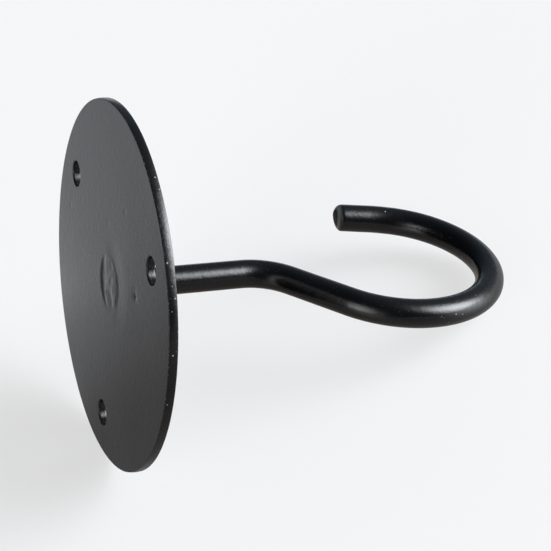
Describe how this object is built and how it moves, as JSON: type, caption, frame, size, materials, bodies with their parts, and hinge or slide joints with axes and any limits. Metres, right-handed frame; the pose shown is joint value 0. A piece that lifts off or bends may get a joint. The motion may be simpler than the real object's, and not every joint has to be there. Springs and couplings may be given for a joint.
{
  "type": "ceiling hook",
  "caption": "Round steel bar bent into an open hook, welded to a flat round base plate with screw holes, in satin black paint.",
  "frame": {"origin": "centre of the plate's mounting face, which is the flat back that lies against the ceiling", "axes": "+Z out of the mounting face into the ceiling, so the hook hangs towards -Z; +X is the side that the bar leans to below its shank, and the tip is on the -X side; the bar lies in the XZ plane"},
  "size_m": [0.0762, 0.0762, 0.0885],
  "materials": {
    "black_paint": "satin black powder coat on mild steel, baked on over the weld"
  },
  "bodies": {
    "root": {"base_plate": "black_paint", "hook_rod": "black_paint", "plug_weld": "black_paint"}
  },
  "joints": []
}
